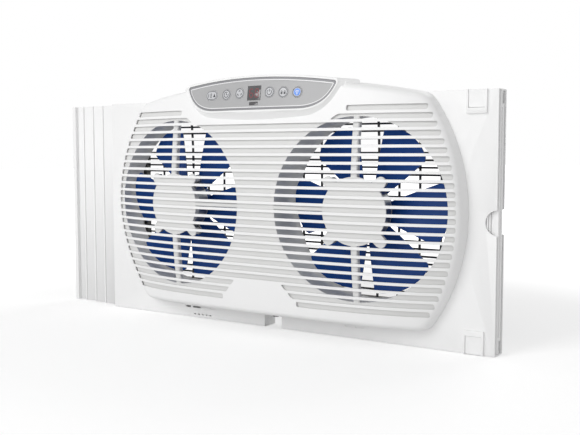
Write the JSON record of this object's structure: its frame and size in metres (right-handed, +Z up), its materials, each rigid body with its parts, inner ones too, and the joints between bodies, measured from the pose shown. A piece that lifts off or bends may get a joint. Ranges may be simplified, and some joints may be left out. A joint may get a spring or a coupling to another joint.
{
  "type": "window fan",
  "caption": "Twin window fan with a domed slatted front, a control console, motor-driven blades and telescoping side leaves",
  "frame": {"origin": "middle of the frame's width, at the lower front edge of the flat window frame, where it stands on the sill", "axes": "+X to the right of someone facing the front, +Y back through the window, +Z up"},
  "size_m": [0.702, 0.0846, 0.3358],
  "materials": {
    "white_plastic": "fine texture",
    "pale_plastic": "fine texture",
    "dark_plastic": "satin",
    "blade_blue": "satin",
    "console_plastic": "satin",
    "button_plastic": "satin",
    "blue_button": "satin",
    "smoke_window": "polished",
    "circuit_board": "coated",
    "black_rubber": "matte",
    "zinc_steel": "zinc plated",
    "laminated_steel": "varnished laminations",
    "shaft_steel": "ground"
  },
  "bodies": {
    "housing": {"frame_front": "white_plastic", "frame_rear": "white_plastic", "front_cover": "white_plastic", "fan_baffle": "pale_plastic", "rear_grille": "dark_plastic", "cord_bushing": "black_rubber", "control_panel": "console_plastic", "control_board": "circuit_board", "display_module": "smoke_window", "display_window": "smoke_window", "ir_window": "smoke_window", "frame_screw_1": "zinc_steel", "frame_screw_2": "zinc_steel", "frame_screw_3": "zinc_steel", "frame_screw_4": "zinc_steel", "frame_screw_5": "zinc_steel", "frame_screw_6": "zinc_steel", "left_motor_can": "zinc_steel", "left_motor_end_plate": "zinc_steel", "left_motor_screw_1": "zinc_steel", "left_motor_screw_2": "zinc_steel", "left_motor_screw_3": "zinc_steel", "left_motor_screw_4": "zinc_steel", "left_stator": "laminated_steel", "left_front_bearing": "shaft_steel", "left_rear_bearing": "shaft_steel", "right_motor_can": "zinc_steel", "right_motor_end_plate": "zinc_steel", "right_motor_screw_1": "zinc_steel", "right_motor_screw_2": "zinc_steel", "right_motor_screw_3": "zinc_steel", "right_motor_screw_4": "zinc_steel", "right_stator": "laminated_steel", "right_front_bearing": "shaft_steel", "right_rear_bearing": "shaft_steel"},
    "left_fan": {"left_rotor": "blade_blue", "left_armature": "laminated_steel", "left_shaft": "shaft_steel", "left_fan_nut": "zinc_steel"},
    "left_leaf_1_body": {"left_leaf_1": "white_plastic"},
    "left_leaf_2_body": {"left_leaf_2": "white_plastic"},
    "left_leaf_3_body": {"left_leaf_3": "white_plastic"},
    "left_leaf_4_body": {"left_leaf_4": "white_plastic"},
    "right_fan": {"right_rotor": "blade_blue", "right_armature": "laminated_steel", "right_shaft": "shaft_steel", "right_fan_nut": "zinc_steel"},
    "right_leaf_1_body": {"right_leaf_1": "white_plastic"},
    "right_leaf_2_body": {"right_leaf_2": "white_plastic"},
    "right_leaf_3_body": {"right_leaf_3": "white_plastic"},
    "right_leaf_4_body": {"right_leaf_4": "white_plastic"},
    "timer_button_body": {"timer_button": "button_plastic"},
    "speed_button_body": {"speed_button": "button_plastic"},
    "power_button_body": {"power_button": "button_plastic"},
    "lock_button_body": {"lock_button": "button_plastic"},
    "link_button_body": {"link_button": "blue_button"},
    "mode_button_body": {"mode_button": "button_plastic"},
    "top_slide_lock_body": {"top_slide_lock": "white_plastic"},
    "bottom_slide_lock_body": {"bottom_slide_lock": "white_plastic"}
  },
  "joints": [
    {"name": "left_fan_spin", "type": "hinge", "parent": "housing", "child": "left_fan", "pos_m": [-0.1424, -0.01, 0.166], "axis": [0, 1, 0], "continuous": true},
    {"name": "right_fan_spin", "type": "hinge", "parent": "housing", "child": "right_fan", "pos_m": [0.1424, -0.01, 0.166], "axis": [0, 1, 0], "continuous": true},
    {"name": "left_leaf_1_slide", "type": "slide", "parent": "housing", "child": "left_leaf_1_body", "axis": [-1, 0, 0], "range_m": [-0.092, 0.012]},
    {"name": "left_leaf_2_slide", "type": "slide", "parent": "housing", "child": "left_leaf_2_body", "axis": [-1, 0, 0], "range_m": [-0.07772, 0.01016]},
    {"name": "left_leaf_3_slide", "type": "slide", "parent": "housing", "child": "left_leaf_3_body", "axis": [-1, 0, 0], "range_m": [-0.05682, 0.00743]},
    {"name": "left_leaf_4_slide", "type": "slide", "parent": "housing", "child": "left_leaf_4_body", "axis": [-1, 0, 0], "range_m": [-0.03622, 0.00474]},
    {"name": "right_leaf_1_slide", "type": "slide", "parent": "housing", "child": "right_leaf_1_body", "axis": [1, 0, 0], "range_m": [0, 0.104]},
    {"name": "right_leaf_2_slide", "type": "slide", "parent": "housing", "child": "right_leaf_2_body", "axis": [1, 0, 0], "range_m": [0, 0.08786]},
    {"name": "right_leaf_3_slide", "type": "slide", "parent": "housing", "child": "right_leaf_3_body", "axis": [1, 0, 0], "range_m": [0, 0.06423]},
    {"name": "right_leaf_4_slide", "type": "slide", "parent": "housing", "child": "right_leaf_4_body", "axis": [1, 0, 0], "range_m": [0, 0.04094]},
    {"name": "timer_button_press", "type": "slide", "parent": "housing", "child": "timer_button_body", "axis": [0.0592, 0.9886, -0.1384], "range_m": [0, 0.001], "stiffness_N_per_m": 1200, "springref_m": -0.0003},
    {"name": "speed_button_press", "type": "slide", "parent": "housing", "child": "speed_button_body", "axis": [0.0302, 0.9899, -0.1386], "range_m": [0, 0.001], "stiffness_N_per_m": 1200, "springref_m": -0.0003},
    {"name": "power_button_press", "type": "slide", "parent": "housing", "child": "power_button_body", "axis": [-0.031, 0.9899, -0.1386], "range_m": [0, 0.001], "stiffness_N_per_m": 1200, "springref_m": -0.0003},
    {"name": "lock_button_press", "type": "slide", "parent": "housing", "child": "lock_button_body", "axis": [-0.0577, 0.9887, -0.1384], "range_m": [0, 0.001], "stiffness_N_per_m": 1200, "springref_m": -0.0003},
    {"name": "link_button_press", "type": "slide", "parent": "housing", "child": "link_button_body", "axis": [-0.0836, 0.9869, -0.1382], "range_m": [0, 0.001], "stiffness_N_per_m": 1200, "springref_m": -0.0003},
    {"name": "mode_button_press", "type": "slide", "parent": "housing", "child": "mode_button_body", "axis": [0.0924, 0.9861, -0.1381], "range_m": [0, 0.001], "stiffness_N_per_m": 1200, "springref_m": -0.0003},
    {"name": "top_lock_slide", "type": "slide", "parent": "housing", "child": "top_slide_lock_body", "axis": [0, 0, 1], "range_m": [0, 0.008]},
    {"name": "bottom_lock_slide", "type": "slide", "parent": "housing", "child": "bottom_slide_lock_body", "axis": [0, 0, -1], "range_m": [0, 0.008]}
  ],
  "couplings": [
    {"joint": "left_leaf_2_slide", "follows": "left_leaf_1_slide", "ratio": 0.8446},
    {"joint": "left_leaf_3_slide", "follows": "left_leaf_1_slide", "ratio": 0.6174},
    {"joint": "left_leaf_4_slide", "follows": "left_leaf_1_slide", "ratio": 0.3935},
    {"joint": "right_leaf_2_slide", "follows": "right_leaf_1_slide", "ratio": 0.8446},
    {"joint": "right_leaf_3_slide", "follows": "right_leaf_1_slide", "ratio": 0.6174},
    {"joint": "right_leaf_4_slide", "follows": "right_leaf_1_slide", "ratio": 0.3935}
  ]
}
